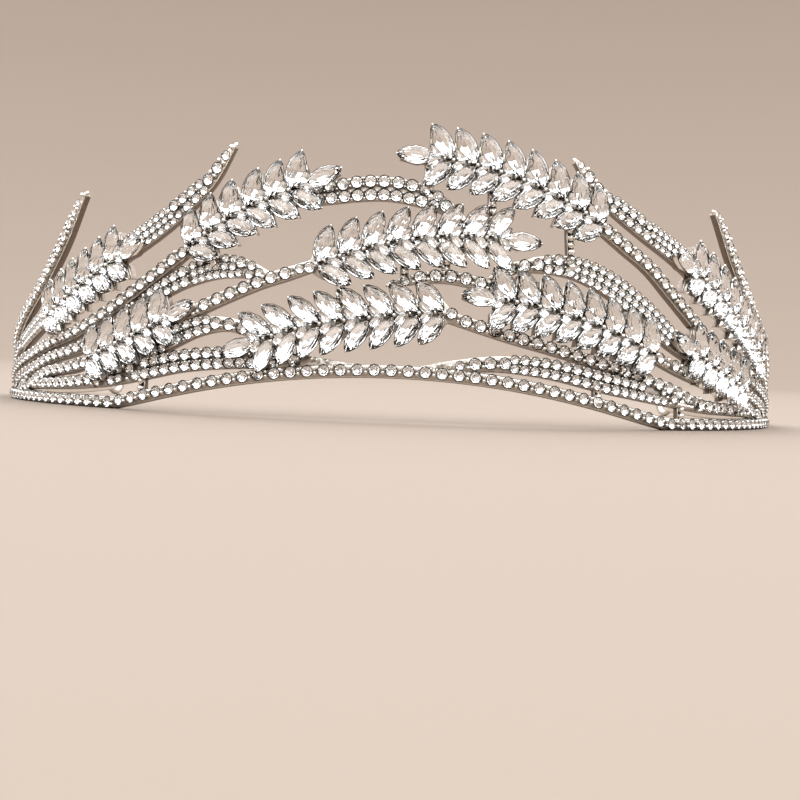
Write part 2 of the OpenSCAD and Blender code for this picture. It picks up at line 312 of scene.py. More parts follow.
def castRecessWithPaintedShade(name, pale, shadedGrainDark):
    # The same plate where the polishing doesn't reach: the grain of the mould leaves it matt and mottles its
    # tone.
    #  Its colour is darkened as painted shade, a little between the stones, more on the sides of the bars
    #  and most of all at the lips of the cups, where the cups' shadows fall.
    material, tree = newMaterial(name)
    finish = {"grain": 0.35, "depth": 0.04}  # size and depth of the mould's grain, in mm
    where = addNode(tree, "ShaderNodeTexCoord")
    grain = addNode(tree, "ShaderNodeTexNoise", values={"Scale": 1 / (finish["grain"] * mm), "Detail": 3.0},
                    links={"Vector": where.outputs["Object"]})
    colour = addNode(tree, "ShaderNodeMix", {"data_type": "RGBA"}, values={6: linear(shadedGrainDark),
                     7: linear(pale)}, links={0: grain.outputs["Fac"]})
    bump = addNode(tree, "ShaderNodeBump", values={"Strength": 0.5, "Distance": finish["depth"] * mm},
                   links={"Height": grain.outputs["Fac"]})
    dull = addNode(tree, "ShaderNodeBsdfPrincipled", values={"Metallic": 1.0, "Roughness": 0.34},
                   links={"Base Color": colour.outputs[2], "Normal": bump.outputs[0]})
    close(tree, dull)
    return material


metal = rhodiumPlate()
# the faces between the stones: matt as cast, and darker grey as painted shade where the stones shade them
shadedSeatMetal = castRecessWithPaintedShade("castSeatWithPaintedShade", "#CFC9C2", "#8F877E")
# the sides of the bars: matt as cast, and brown-grey as painted shade, the shadow along each bar's edge
shadedSideMetal = castRecessWithPaintedShade("castSideWithPaintedShade", "#A0938A", "#675D54")
metals = [metal, shadedSeatMetal, shadedSideMetal]
# the lips of the cups: near black, a painted shadow ringing each stone
lipShadeMetal = castRecessWithPaintedShade("paintedShadeAtCupLips", "#4A4540", "#1E1B18")
stoneMaterials = [crystalGlass(), silverFoil()]

# The cast metal: the rim, the vines, their posts, the backs of the ears and the tails

rim = {
    "height": 2.2,
    "arch": 7.8,  # how high it arches over the forehead
    "archAngle": 41,
    "archPower": 1.25,
    "end": 104,
    "step": 2,
}


def foot(angle):
    # height of the rim's foot
    inside = 1 - (angle / rim["archAngle"]) ** 2
    return rim["arch"] * inside ** rim["archPower"] if inside > 0 else 0


vines = {
    # name: (how deep it is sunk under the face, rows of [angle, height, width] from the side to the tip)
    "crestLeft": (0.1, [[-102, 1.3, 1.6], [-95, 5, 2.2], [-88, 8.2, 2.3], [-80, 11.8, 2.4], [-71, 16.2, 2.4],
                        [-62, 22.2, 2.4], [-55, 30.4, 2.1], [-50, 39.6, 0.8]]),
    "crestRight": (0.1, [[102, 1.3, 1.6], [95, 5, 2.2], [88, 8.2, 2.3], [80, 12.2, 2.4], [72, 17.4, 2.4],
                         [64, 23.8, 2.4], [57, 32, 2.1], [51.5, 41, 0.8]]),
    "plumeLeft": (0.4, [[-95, 1.3, 1.6], [-88, 5, 2.3], [-80, 8, 2.5], [-72, 11, 2.8], [-64, 14.4, 3.2],
                        [-54, 19.6, 3.8], [-45, 25.6, 4], [-35, 32.6, 4], [-28.8, 38.4, 3.4],
                        [-25.5, 42.6, 2.4], [-22.7, 48, 0.8]]),
    "plumeRight": (0.4, [[95, 1.3, 1.6], [88, 5, 2.3], [80, 8.2, 2.5], [72, 11.8, 2.8], [64, 16.4, 3.2],
                         [57, 21.6, 3.8], [50, 27, 4], [42.9, 32, 4], [35, 37, 3.6], [28.1, 42.4, 2.6],
                         [24.4, 47.8, 0.8]]),
    "stemA": (0.2, [[-88, 1.2, 1.6], [-80, 4.8, 2.2], [-72, 7, 2.3], [-64, 9.2, 2.3], [-57, 11.4, 2.3],
                    [-50, 13.6, 2.3], [-43, 17.4, 2.3], [-35, 23.6, 2.3], [-30.6, 27.6, 2.3], [-27, 31, 2]]),
    "stemB": (0.2, [[88, 1.2, 1.6], [80, 4.8, 2.2], [72, 7, 2.3], [64, 9.4, 2.3], [57, 12.2, 2.3],
                    [50, 16.6, 2.3], [42, 24, 2.3], [37, 29.2, 2.3], [32.5, 32.8, 2.3], [28.5, 36, 2]]),
    "stemC": (0.3, [[-65, 3, 1.4], [-57, 6, 2.1], [-50, 7.2, 2.2], [-43.5, 9.6, 2.2], [-35, 14.2, 2.3],
                    [-28.4, 17.6, 2.3], [-24, 20.2, 2.3], [-18.3, 23.4, 2.3], [-14.3, 25.2, 2.3],
                    [-10.5, 27, 2]]),
    "stemD": (0.45, [[47, 5, 1.4], [40, 7.9, 2.1], [31.2, 10.8, 2.2], [22.6, 13.6, 2.2], [14.8, 16, 2.2],
                     [5.5, 19.4, 2]]),
    "stemE": (0.3, [[66, 3, 1.4], [58, 6.2, 2.1], [50, 8.8, 2.2], [43, 11.2, 2.2], [36.5, 14.2, 2]]),
    "loop": (0.35, [[-14, 38.6, 3], [-9, 39.7, 3.8], [-5, 40.6, 4.2], [-1, 40.8, 4.2], [3, 39.9, 4],
                    [6.5, 37.9, 2.6], [9.5, 34.4, 1.4]]),
    "sprayLeft": (0.5, [[-80, 1.2, 1.6], [-72, 4.3, 2.2], [-64, 6.4, 2.2], [-57, 8.7, 2.2], [-50, 10.5, 2.3],
                        [-44, 13.2, 2.4], [-38, 18, 2.6], [-31.7, 22.6, 3.2], [-27.5, 25, 3.9],
                        [-23.8, 26.2, 4.1], [-20, 25.9, 3.2], [-16, 24.4, 1.2]]),
    "sprayRight": (0.5, [[80, 1.2, 1.6], [72, 4.3, 2.2], [64, 6.6, 2.2], [57, 9, 2.4], [49, 12.4, 3],
                         [41.7, 16.6, 3.8], [36.7, 20.8, 4.4], [30, 25.9, 4.4], [25.3, 28.2, 4],
                         [20.8, 28.8, 3.2], [16.3, 28.1, 2.2], [13, 26.2, 0.9]]),
    "twigLeft": (0.35, [[-38, 6.6, 1.6], [-34.5, 10, 2.6], [-30.6, 13.2, 3.4], [-26.5, 15.4, 3.2],
                        [-22.3, 16, 2.5], [-17.6, 14.4, 2]]),
    "twigRight": (0.1, [[17.5, 21.8, 2], [12.6, 24.2, 2.3], [8.1, 25.6, 2.3], [4.2, 25.5, 2],
                        [-0.6, 23.9, 0.8]]),
    "sweepLeft": (0.15, [[-74, 1.1, 1.4], [-66, 3.2, 2.1], [-57, 3.8, 2.2], [-50, 4.3, 2.4], [-42, 5.6, 3.2],
                         [-35, 7.4, 3.6], [-28.8, 9.1, 3.7], [-22, 10, 3.6], [-16, 10.1, 3.2],
                         [-11, 9.8, 2.4], [-5, 9.4, 1.2]]),
    "sweepRight": (0.15, [[74, 1.1, 1.4], [66, 3.2, 2.1], [57, 3.8, 2.2], [50, 4.3, 2.4], [42, 5.6, 2.8],
                          [35, 7, 3.2], [28.8, 8.4, 3.5], [21.5, 10.2, 3.3], [14.3, 10.9, 2.8],
                          [8.4, 10.2, 2.2], [4, 9.5, 1.1]]),
}
vineSteps = 5

posts = {
    "width": 1.5,
    "thick": 1.0,
    "sink": 0.35,
    "ends": [  # [angle, height] at both ends
        [[-24.6, 26.6], [-25.2, 32.6]], [[-7.4, 17.6], [-6.8, 28.8]], [[1.2, 25], [1.2, 32]],
        [[6.6, 25.8], [6.6, 33.2]], [[12.6, 33.6], [12.4, 44.4]], [[23.9, 28.6], [23.4, 39]],
        [[4.2, 39.6], [3.8, 46.6]], [[28.4, 8], [28.4, 4.6]], [[43.5, 5], [43.5, 1.4]],
        [[32.4, 10.6], [31.6, 16.6]], [[-35.4, 6.6], [-35.4, 2.6]],
    ],
}

tail = {
    "rows": [[101, 1.15, 1.9], [108, 1.15, 2], [116, 1.5, 2.4], [122.7, 2.5, 3.2]],
    "sink": 0.05,
    "eyeAngle": 124,
    "eyeWidth": 5.2,
    "eyeHole": 2.4,
    "eyeRound": 1.08,  # how far the corners of its section are drawn out, against a circle's
    "eyeSteps": 32,
}

leaf = {
    "length": 7.1,
    "width": 3.4,
    "crown": 1.1,
    "pavilion": 0.9,
    "seat": 1.25,  # girdle over the face of the metal
    "pitch": 4.3,  # from one pair to the next
    "splay": 50,
    "roll": 12,
    "lift": 7,
    "root": 0.2,
    "blunt": 1.4,  # the nearer to 1, the rounder its points
    "firstPair": 7.7,  # from the tip back to the middle of the first pair
    "tooth": 6.5,  # length of a tooth of the back, and of the notch between two
    "notch": 3.2,
    "tipBack": [[0.7, 0.4], [3.55, 1.25], [7.1, 0.7]],  # [from the tip, half width] of the back under it
}

ears = {
    # name: (pairs of leaves, how deep the back is sunk, rows of [angle, height] along the stem to its tip)
    "ear_a": (6, 0, [[-29.6, 28.2], [-21, 35.8], [-15.2, 39.2], [-7.3, 43.8]]),
    "ear_b": (8, 0.06, [[28.6, 36], [20, 41.5], [12, 44.9], [4, 46.6], [-0.5, 46.6]]),
    "ear_c": (8, 0, [[-10.5, 26.6], [-4, 29.8], [4, 32.2], [12, 32.7], [19, 32]]),
    "ear_d": (8, 0.06, [[7, 19.2], [3, 18.9], [-6, 17.2], [-13, 15.2], [-22.6, 10.4]]),
    "ear_e": (8, 0, [[37, 13.8], [30, 17.3], [22.5, 20.1], [16, 21.6], [8.4, 22.5]]),
    "ear_f": (6, 0, [[-60, 14.6], [-46, 23.6], [-35.6, 30.8]]),
    "ear_g": (5, 0.06, [[-46, 8.4], [-35, 14.2], [-26.6, 19.4]]),
    "ear_h": (8, 0, [[66, 14.2], [58, 20.4], [50, 26.2], [40.4, 32.4]]),
    "ear_i": (5, 0.06, [[58, 8.4], [49, 12.4], [40.6, 17]]),
}
earSteps = 8


def leafPlaces(pairs, rows):
    # [angle, height, turn, roll] of every leaf of an ear: the tip leaf, then pairs down the stem
    line, far = drawn(rows, earSteps)
    tip, way = walk(line, far, far[-1] - leaf["length"] / 2)
    places = [[*tip, way, 0]]
    across = leaf["root"] + leaf["length"] / 2 * math.sin(math.radians(leaf["splay"]))
    for i in range(pairs):
        p, way = walk(line, far, far[-1] - leaf["firstPair"] - i * leaf["pitch"])
        for side in (-1, 1):
            q = aside(p, way, side * across)
            places.append([*q, way + side * leaf["splay"], side * leaf["roll"]])
    return places


def pairRoot(far, i):
    # how far along the stem the inner ends of a pair of leaves lie
    reach = leaf["length"] / 2 * math.cos(math.radians(leaf["splay"]))
    return far[-1] - leaf["firstPair"] - i * leaf["pitch"] - reach


def leafMatrix(angle, height, turn, roll):
    tilt = Matrix.Rotation(math.radians(-leaf["lift"]), 4, "Y")
    tilt @= Matrix.Rotation(math.radians(roll), 4, "X")
    return onFace(angle, height, leaf["seat"], turn) @ tilt


def earRibs(pairs, rows):
    # ribs of an ear's back from the tip to the root, with a tooth under each leaf
    line, far = drawn(rows, earSteps)
    leanIn, out = math.cos(math.radians(leaf["splay"])), math.sin(math.radians(leaf["splay"]))
    root = leaf["firstPair"] + leaf["length"] / 2 * leanIn
    cuts = [(d, d, half) for d, half in leaf["tipBack"]]
    for i in range(2 * pairs + 1):
        long = leaf["tooth"] if i % 2 else leaf["notch"]
        d = root + (i - 1) * leaf["pitch"] / 2
        cuts.append((d, d - long * leanIn, long * out))
    ribs = []
    for stemAt, edgeAt, reach in cuts:
        p = walk(line, far, far[-1] - stemAt)[0]
        q, way = walk(line, far, far[-1] - edgeAt)
        ribs.append([aside(q, way, reach), [p[0], p[1]], aside(q, way, -reach)])
    return ribs


def makeMetal():
    bm = bmesh.new()
    angles = np.arange(-rim["end"], rim["end"] + 1, rim["step"])
    strip(bm, [[[a, foot(a)], [a, foot(a) + rim["height"]]] for a in angles], 0, band["metal"])
    softenEdges(bm, castEdge["rim"])
    finishPiece(bm, "rim_bar", metals, ["frame"])

    bm = bmesh.new()
    for sink, rows in vines.values():
        strip(bm, crossRibs(curve(rows, vineSteps)), sink, band["metal"])
    softenEdges(bm, castEdge["vines"])
    finishPiece(bm, "vine_metal", metals, ["frame"])

    bm = bmesh.new()
    for ends in posts["ends"]:
        strip(bm, crossRibs([np.array([*p, posts["width"]]) for p in ends]), posts["sink"], posts["thick"])
    softenEdges(bm, castEdge["posts"])
    # the posts' fronts, under their beads, take the same painted shadow as the lips of the cups
    finishPiece(bm, "post_metal", [metal, lipShadeMetal, shadedSideMetal], ["frame"])

    bm = bmesh.new()
    for pairs, sink, rows in ears.values():
        strip(bm, earRibs(pairs, rows), sink, band["metal"])
    softenEdges(bm, castEdge["ears"])
    finishPiece(bm, "ear_metal", metals, ["frame"])


def makeTails():
    bm = bmesh.new()
    for side in (-1, 1):
        rows = [[side * r[0], r[1], r[2]] for r in tail["rows"]]
        strip(bm, crossRibs(curve(rows, vineSteps)), tail["sink"], band["metal"])
    softenEdges(bm, castEdge["tails"], seats=False)
    ring = bmesh.new()
    wall = (tail["eyeWidth"] - tail["eyeHole"]) / 4 * mm
    deep = band["metal"] / 2 * mm
    loop = bmesh.ops.create_circle(ring, segments=8, radius=tail["eyeRound"])["verts"]
    for v in loop:
        # a rounded square section, a wall wide and the metal high
        along, high = np.clip([v.co.x, v.co.y], -1, 1)
        v.co = Vector((wall * along + tail["eyeHole"] / 2 * mm + wall, 0, deep * high))
    bmesh.ops.spin(ring, geom=ring.verts[:] + ring.edges[:], cent=(0, 0, 0), axis=(0, 0, 1),
                   angle=math.tau, steps=tail["eyeSteps"], use_merge=True)
    bmesh.ops.remove_doubles(ring, verts=ring.verts, dist=1e-7)
    bmesh.ops.recalc_face_normals(ring, faces=ring.faces)
    for f in ring.faces:
        f.smooth = True
    eye = shapeOf(ring)
    for side in (-1, 1):
        a = math.radians(side * tail["eyeAngle"])
        upright = Matrix.Rotation(a, 4, "Z") @ Matrix.Rotation(math.pi / 2, 4, "X")
        middle = skin(side * tail["eyeAngle"], tail["eyeWidth"] / 2, -band["metal"] / 2)
        stamp(bm, eye, Matrix.Translation(middle) @ upright)
    finishPiece(bm, "tail_metal", [metal], ["frame"])


makeMetal()
makeTails()
print("made the cast metal")

# The stones


def drawOut(bm, face):
    # draws a face out into a new tier, and gives the new face
    made = bmesh.ops.extrude_face_region(bm, geom=[face])["geom"]
    return next(g for g in made if isinstance(g, bmesh.types.BMFace))


def foilBack(bm):
    # the second material on the faces behind the girdle
    bmesh.ops.recalc_face_normals(bm, faces=bm.faces)
    for f in bm.faces:
        f.material_index = 1 if f.calc_center_median().z < -0.01 * mm else 0


roundCut = {
    "crown": 0.225,  # shares of the width
    "pavilion": 0.275,
    "table": 0.55,
    "sides": 12,
    "waist": ((0.7, 0.5), (0.46, 0.74)),  # its corners' shares of the radius and of the depth behind
}


def cutRound(width):
    # a round stone: a table and twelve crown faces, and behind them two tiers down to a point
    cut = roundCut
    bm = bmesh.new()
    bmesh.ops.create_circle(bm, cap_ends=True, segments=cut["sides"], radius=width / 2 * mm)
    girdle = next(iter(bm.faces))
    for v in drawOut(bm, girdle).verts:
        v.co = Vector((v.co.x * cut["table"], v.co.y * cut["table"], cut["crown"] * width * mm))
    waist = drawOut(bm, girdle)
    for v in waist.verts:
        turn = math.atan2(v.co.y, v.co.x)
        share, deep = cut["waist"][round(turn / math.tau * cut["sides"]) % 2]
        v.co = Vector((v.co.x * share, v.co.y * share, -deep * cut["pavilion"] * width * mm))
    point = bmesh.ops.poke(bm, faces=[waist])["verts"][0]
    point.co = Vector((0, 0, -cut["pavilion"] * width * mm))
    bmesh.ops.delete(bm, geom=[girdle], context="FACES_ONLY")
    foilBack(bm)
    return shapeOf(bm)


navetteCut = {
    "table": 0.42,  # shares of the length and the width
    "shoulder": 0.78,
    "shoulderHeight": 0.62,  # of the crown
    "keel": 0.2,  # half its length, of the stone's
    "sides": 12,
    "waist": ((0.86, 0.7, 0.5), (0.7, 0.46, 0.74)),  # its corners' shares of length, width and depth behind
}


def cutNavette():
    # a pointed oval: two tiers of crown faces round a long table, and two more down to a keel behind
    cut = navetteCut
    bm = bmesh.new()
    bmesh.ops.create_circle(bm, cap_ends=True, segments=cut["sides"], radius=1)
    for v in bm.verts:
        leafOutline(v)
    girdle = next(iter(bm.faces))
    shoulder = drawOut(bm, girdle)
    for v in shoulder.verts:
        share = cut["shoulder"]
        v.co = Vector((v.co.x * share, v.co.y * share, cut["shoulderHeight"] * leaf["crown"] * mm))
    table = drawOut(bm, shoulder)
    for v in table.verts:
        share = cut["table"] / cut["shoulder"]
        v.co = Vector((v.co.x * share, v.co.y * share, leaf["crown"] * mm))
    waist = drawOut(bm, girdle)
    for v in waist.verts:
        turn = math.atan2(v.co.y / leaf["width"], v.co.x / leaf["length"])
        long, wide, deep = cut["waist"][round(turn / math.tau * cut["sides"]) % 2]
        v.co = Vector((v.co.x * long, v.co.y * wide, -deep * leaf["pavilion"] * mm))
    for v in drawOut(bm, waist).verts:
        along = 0 if abs(v.co.x) < 1e-6 else math.copysign(cut["keel"] * leaf["length"] * mm, v.co.x)
        v.co = Vector((along, 0, -leaf["pavilion"] * mm))
    bmesh.ops.delete(bm, geom=[girdle, shoulder, waist], context="FACES_ONLY")
    bmesh.ops.remove_doubles(bm, verts=bm.verts, dist=1e-6)
    bmesh.ops.dissolve_degenerate(bm, edges=bm.edges, dist=1e-6)
    foilBack(bm)
    return shapeOf(bm)


navette = cutNavette()
leafSpots = {name: leafPlaces(pairs, rows) for name, (pairs, sink, rows) in ears.items()}
for name, spots in leafSpots.items():
    bm = bmesh.new()
    for spot in spots:
        stamp(bm, navette, leafMatrix(*spot))
    finishPiece(bm, name + "_stones", stoneMaterials, [name])
print("set", sum(len(s) for s in leafSpots.values()), "leaf stones")

rimRow = {
    "width": 2.0,
    "pitch": 2.9,
    "end": 93,  # angle of the last stone
    "gap": 0.12,  # from the metal to the point of a stone
}


def rimSpots():
    # [angle, height, turn, width, sink, rows side by side] of each stone of the rim
    line = [np.array([a, foot(a) + rim["height"] / 2]) for a in range(-rimRow["end"], rimRow["end"] + 1)]
    far = measured(line)
    count = math.floor(far[-1] / rimRow["pitch"])
    spots = []
    for i in range(count + 1):
        p, way = walk(line, far, far[-1] * i / count)
        spots.append([*p, way, rimRow["width"], 0, 1])
    return spots


cup = {
    "wall": 0.07,  # shares of the stone's width
    "foot": 0.36,
    "sides": 10,
}

vineRow = {
    "widest": 2.1,  # widest stone
    "narrowest": 0.9,  # the smallest, towards the tips
    "rows": (2.85, 3.75),  # widths of a vine from which it has two rows, and three
    "most": {"loop": 2, "twigLeft": 2},  # rows of the vines that never have three
    "pitch": (1.28, 1.12, 1.1),  # for each width of a stone, in one, two and three rows
    "over": 0.3,  # how much wider than the vine its rows may be
    "start": 1.0,  # from the vine's foot, and the least left to its tip
    "end": 0.4,
    "apart": 0.48,  # least distance of two stones, for each mm of their widths together
    "smaller": 0.75,  # of its full size, where a stone of that size doesn't fit
    "least": 0.8,  # the smallest width that is set
    "under": 0.5,  # how far a stone may reach under a leaf
}
footStone = {"width": 1.9, "past": 1.5}  # past the roots of an ear's last pair of leaves

leafInverses = [leafMatrix(*spot).inverted() for spots in leafSpots.values() for spot in spots]
leafMiddles = np.array([m.inverted().translation for m in leafInverses])


def underLeaf(x, margin):
    # whether a point, in metres, lies under a leaf stone or within a margin of it, in mm
    near = np.linalg.norm(leafMiddles - np.array(x), axis=1) < leaf["length"] * mm
    for i in np.flatnonzero(near):
        p = leafInverses[i] @ x / mm
        edge = leaf["width"] / 2 * max(0, 1 - (2 * p.x / leaf["length"]) ** 2) ** (leaf["blunt"] / 2)
        if abs(p.x) < leaf["length"] / 2 + margin and abs(p.y) < edge + margin:
            return True
    return False


def footSpots():
    # a round stone at the foot of each ear, under its last pair of leaves
    spots = []
    for pairs, sink, rows in ears.values():
        line, far = drawn(rows, earSteps)
        p, way = walk(line, far, pairRoot(far, pairs - 1) - footStone["past"])
        spots.append([*p, way, footStone["width"], sink, 1])
    return spots


def widthThatFits(x, size, taken):
    # the width of a stone at a point, in metres: the one asked for, a smaller one or none
    room = min((x - y).length / (vineRow["apart"] * mm) - width for y, width in taken)
    fits = size if room > size else vineRow["smaller"] * size
    if room > fits > vineRow["least"] and not underLeaf(x, -vineRow["under"]):
        return fits
    return 0


def vineSpots(taken):
    # stones along the vines, left out where a leaf or another stone already sits
    spots = []
    for name, (sink, table) in vines.items():
        line, far = drawn(table, vineSteps)
        most = vineRow["most"].get(name, len(vineRow["pitch"]))
        for row in range(most):
            d = vineRow["start"]
            while d < far[-1] - vineRow["end"]:
                p, way = walk(line, far, d)
                rows = min(most, 1 + sum(p[2] >= wide for wide in vineRow["rows"]))
                across = p[2] + vineRow["over"]
                size = max(vineRow["narrowest"], across / rows)
                size = min(vineRow["widest"], size, p[1] / (0.5 + cup["wall"]))
                d += vineRow["pitch"][rows - 1] * size
                if row >= rows:
                    continue
                apart = max(size, (across - size) / max(rows - 1, 1))
                q = aside(p, way, (row - (rows - 1) / 2) * apart)
                x = skin(*q)
                fits = widthThatFits(x, size, taken)
                if fits:
                    spots.append([*q, way, fits, sink, rows])
                    taken.append((x, fits))
    return spots


def setStones(name, spots, nodes=()):
    bm = bmesh.new()
    shapes = {}
    for angle, height, way, width, sink, rows in spots:
        size = round(width, 1)
        if size not in shapes:
            shapes[size] = cutRound(size)
        out = roundCut["pavilion"] * size + rimRow["gap"] - sink
        stamp(bm, shapes[size], onFace(angle, height, out, way))
    finishPiece(bm, name, stoneMaterials, nodes)


onRim = rimSpots()
onVines = footSpots()
onVines += vineSpots([(skin(s[0], s[1]), s[3]) for s in onRim + onVines])
setStones("rim_stones_cut", onRim, ["rim_stones"])
setStones("vine_stones", onVines)
print("set", len(onRim), "rim stones and", len(onVines), "vine stones")

# What holds the stones


def paintShadeOnLip(bm):
    # the second material on the lip of a cup: a painted shadow, near black, ringing the stone
    bmesh.ops.recalc_face_normals(bm, faces=bm.faces)
    for f in bm.faces:
        f.material_index = 1 if f.normal.z > castEdge["lip"] else 0


def cupShape(width):
    bm = bmesh.new()
    height = roundCut["pavilion"] * width + rimRow["gap"]
    bmesh.ops.create_cone(bm, cap_ends=False, segments=cup["sides"], radius1=cup["foot"] * width * mm,
                          radius2=(0.5 + cup["wall"]) * width * mm, depth=height * mm)
    bmesh.ops.translate(bm, verts=bm.verts, vec=(0, 0, height / 2 * mm))
    bmesh.ops.solidify(bm, geom=bm.faces[:], thickness=cup["wall"] * width * mm)
    paintShadeOnLip(bm)
    return shapeOf(bm)


def setCups(spots):
    bm = bmesh.new()
    shapes = {}
    for angle, height, way, width, sink, rows in spots:
        size = round(width, 1)
        if size not in shapes:
            shapes[size] = cupShape(size)
        stamp(bm, shapes[size], onFace(angle, height, -sink, way))
    finishPiece(bm, "stone_cups", [metal, lipShadeMetal])


def grainShape(around, up):
    # a ball of metal, 1 mm in radius
    bm = bmesh.new()
    bmesh.ops.create_uvsphere(bm, u_segments=around, v_segments=up, radius=1 * mm)
    for f in bm.faces:
        f.smooth = True
    return shapeOf(bm)


smallGrain = grainShape(6, 4)
roundGrain = grainShape(8, 6)


notchBead = {
    "radius": (0.19, 0.13),  # for each mm of the stones' width, in one row and in more
    "near": 0.5,  # the next stone lies farther ahead than this, in mm
    "far": 1.7,  # but nearer than this, in widths
    "beside": 0.35,  # and no farther beside the row than this
    "aside": 1.05,  # the least from the row's line to a bead's middle, in radii
    "up": 0.3,  # how high it stands over the vine
}
fillingBead = {
    "radii": (0.5, 0.4),  # of the beads that fill what is left of the vines
    "start": 0.3,
    "pitch": 1.9,  # along the vine, in radii
    "room": 2.1,  # across it
    "hole": 0.42,  # the least distance to a stone
    "overlap": 0.05,  # of two beads
    "lowest": 1.2,  # height over the floor, in radii
    "up": 0.25,
}
beadHeight = 1.5  # half the height of either, in radii


def notchBeads(spots):
    # [middle, place, radius] of two beads between each stone of a row and the next
    stones = [onFace(a, h, -sink, way) for a, h, way, width, sink, rows in spots]
    centres = np.array([m.translation for m in stones])
    sizes = np.array([s[3] for s in spots])
    beads = []
    for place, width, rows in zip(stones, sizes, [s[5] for s in spots]):
        turned = np.array(place.inverted().to_3x3())
        local = (centres - np.array(place.translation)) @ turned.T / mm
        ahead = (local[:, 0] > notchBead["near"]) & (local[:, 0] < notchBead["far"] * width)
        ahead &= np.abs(local[:, 1]) < notchBead["beside"] * width
        if not ahead.any():
            continue
        half = local[ahead, 0].min() / 2
        r = notchBead["radius"][1 if rows > 1 else 0] * width
        off = math.sqrt(max((width / 2 + r) ** 2 - half**2, (notchBead["aside"] * r) ** 2))
        for side in (-1, 1):
            x = place @ (Vector((half, side * off, notchBead["up"] * width)) * mm)
            apart = np.linalg.norm(centres - np.array(x), axis=1) / mm - sizes / 2
            if apart.min() > 0:
                x.z = max(x.z, r * mm)  # the lowest beads rest on the floor with the rim
                beads.append((x, place, r))
    return beads


def fillingBeads(spots, beads):
    # the same for smaller beads over the rest of the vines' faces
    centres = np.array([list(skin(s[0], s[1])) for s in spots] + [list(b[0]) for b in beads])
    reach = np.array([s[3] / 2 for s in spots] + [b[2] for b in beads])
    more = []
    for r, (sink, rows) in [(r, vine) for r in fillingBead["radii"] for vine in vines.values()]:
        line, far = drawn(rows, vineSteps)
        for d in np.arange(fillingBead["start"], far[-1], fillingBead["pitch"] * r):
            p, way = walk(line, far, d)
            count = max(1, int(p[2] / (fillingBead["room"] * r)))
            edge = min(count - 1, 1) * (p[2] / 2 - r)
            for off in np.linspace(-edge, edge, count):
                q = aside(p, way, off)
                x = skin(*q)
                gap = (np.linalg.norm(centres - np.array(x), axis=1) / mm - reach).min()
                free = gap > fillingBead["hole"] and not underLeaf(x, 0)
                if free and q[1] > fillingBead["lowest"] * r:
                    place = onFace(*q, fillingBead["up"] - sink, way)
                    more.append((place.translation.copy(), place, r))
                    centres = np.vstack([centres, list(x)])
                    reach = np.append(reach, 2 * r - fillingBead["hole"] - fillingBead["overlap"])
    return more


def setBeads(spots):
    bm = bmesh.new()
    beads = notchBeads(spots)
    beads += fillingBeads(spots, beads)
    for x, place, r in beads:
        size = Matrix.Diagonal((r, r, beadHeight * r, 1))
        stamp(bm, smallGrain, Matrix.Translation(x - place.translation) @ place @ size)
    finishPiece(bm, "setting_beads", [metal])
    return len(beads)


setCups(onRim + onVines)
beadCount = setBeads(onRim + onVines)
print("made", beadCount, "beads")


leafCup = {
    "wider": 0.08,  # than the leaf
    "below": 0.04,  # its lip, under the girdle
    "foot": (0.8, 0.72),  # shares of the lip's length and width
    "wall": 0.15,
    "prong": (0.3, 0.17, 0.32),  # half its size along, across and out
    "prongIn": 0.1,  # from the leaf's point to its middle
    "prongDown": 0.05,
}


def leafCupShape():
    # an open cup round a leaf stone, from the metal's face to just under the girdle
    bm = bmesh.new()
    bmesh.ops.create_circle(bm, cap_ends=False, segments=12, radius=1)
    for v in bm.verts:
        leafOutline(v, leafCup["wider"])
        v.co.z = -leafCup["below"] * mm
    low = bmesh.ops.extrude_edge_only(bm, edges=bm.edges[:])["geom"]
    for v in [g for g in low if isinstance(g, bmesh.types.BMVert)]:
        v.co = Vector((v.co.x * leafCup["foot"][0], v.co.y * leafCup["foot"][1], -leaf["seat"] * mm))
    bmesh.ops.recalc_face_normals(bm, faces=bm.faces)
    bmesh.ops.solidify(bm, geom=bm.faces[:], thickness=leafCup["wall"] * mm)
    paintShadeOnLip(bm)
    return shapeOf(bm)


def setLeafCups():
    bm = bmesh.new()
    shape = leafCupShape()
    prong = Matrix.Diagonal((*leafCup["prong"], 1))
    for spots in leafSpots.values():
        for spot in spots:
            place = leafMatrix(*spot)
            stamp(bm, shape, place)
            for end in (-1, 1):
                along = end * (leaf["length"] / 2 - leafCup["prongIn"])
                tip = Matrix.Translation(Vector((along, 0, -leafCup["prongDown"])) * mm)
                stamp(bm, roundGrain, place @ tip @ prong)
    finishPiece(bm, "leaf_settings", [metal, lipShadeMetal])


rootStone = {
    "along": 3.25,  # from the inner ends of a pair of leaves to the middle of its two small stones
    "across": 0.88,  # from the stem to their middle
    "turn": 48,
    "length": 3.3,
    "width": 1.5,
    "out": 1.35,  # their girdle, over the face
    "depth": 0.5,  # against a leaf's
}
stemGrain = {
    "rows": [[-0.1, 0.5], [1.5, 0.36]],  # [from the inner ends of a pair of leaves, radius]
    "height": 0.7,  # against the leaves' seat
}


